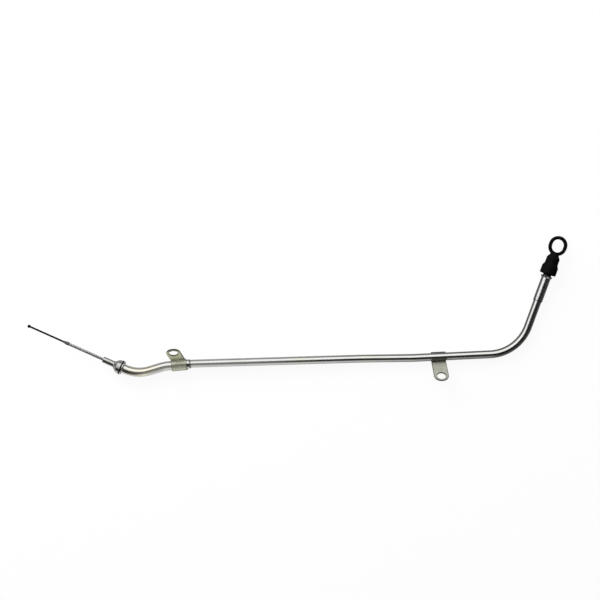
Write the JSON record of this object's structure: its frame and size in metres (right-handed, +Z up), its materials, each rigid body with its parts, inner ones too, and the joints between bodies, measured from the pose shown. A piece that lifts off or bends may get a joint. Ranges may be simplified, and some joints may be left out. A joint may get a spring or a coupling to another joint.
{
  "type": "engine oil dipstick",
  "caption": "Flexible engine oil dipstick in its long bent steel guide tube, with a block spigot, strap brackets with bolt tabs and a black pull cap with a finger ring.",
  "frame": {"origin": "on the axis of the block spigot, at the foot of its seating cone", "axes": "+X along the tube from the spigot towards the handle, +Y to the side that the handle leg turns to, +Z up from the surface that the part lies on"},
  "size_m": [0.6465, 0.1726, 0.0352],
  "materials": {
    "fitting_zinc": "turned and zinc plated",
    "seal_rubber": "matt black",
    "tube_zinc": "bright zinc plated drawn tube",
    "bracket_zinc": "passivated zinc with an olive tint",
    "crimp_steel": "plain crimped steel",
    "cap_plastic": "satin black moulding",
    "cable_steel": "laid steel cable",
    "ferrule_steel": "dull dark crimped steel",
    "tip_black": "blackened steel"
  },
  "bodies": {
    "tube": {"block_spigot": "fitting_zinc", "spigot_seal": "seal_rubber", "lower_tube": "tube_zinc", "main_tube": "tube_zinc", "mouth_sleeve": "tube_zinc", "lower_bracket": "bracket_zinc", "upper_bracket": "bracket_zinc", "cable_middle": "cable_steel"},
    "handle": {"pull_cap": "cap_plastic", "sealing_plug": "seal_rubber", "cable_anchor": "crimp_steel", "cable_upper": "cable_steel"},
    "tip": {"cable_lower": "cable_steel", "tip_ferrule": "ferrule_steel", "tip_rod": "tip_black"}
  },
  "joints": [
    {"name": "handle_pull", "type": "slide", "parent": "tube", "child": "handle", "axis": [0.3387, 0.9401, 0.0377], "range_m": [0, 0.036]},
    {"name": "tip_draw", "type": "slide", "parent": "tube", "child": "tip", "axis": [0.9114, -0.4108, -0.0245], "range_m": [0, 0.036], "deforming": ["cable_middle"]}
  ],
  "couplings": [
    {"joint": "tip_draw", "follows": "handle_pull", "ratio": 1}
  ]
}
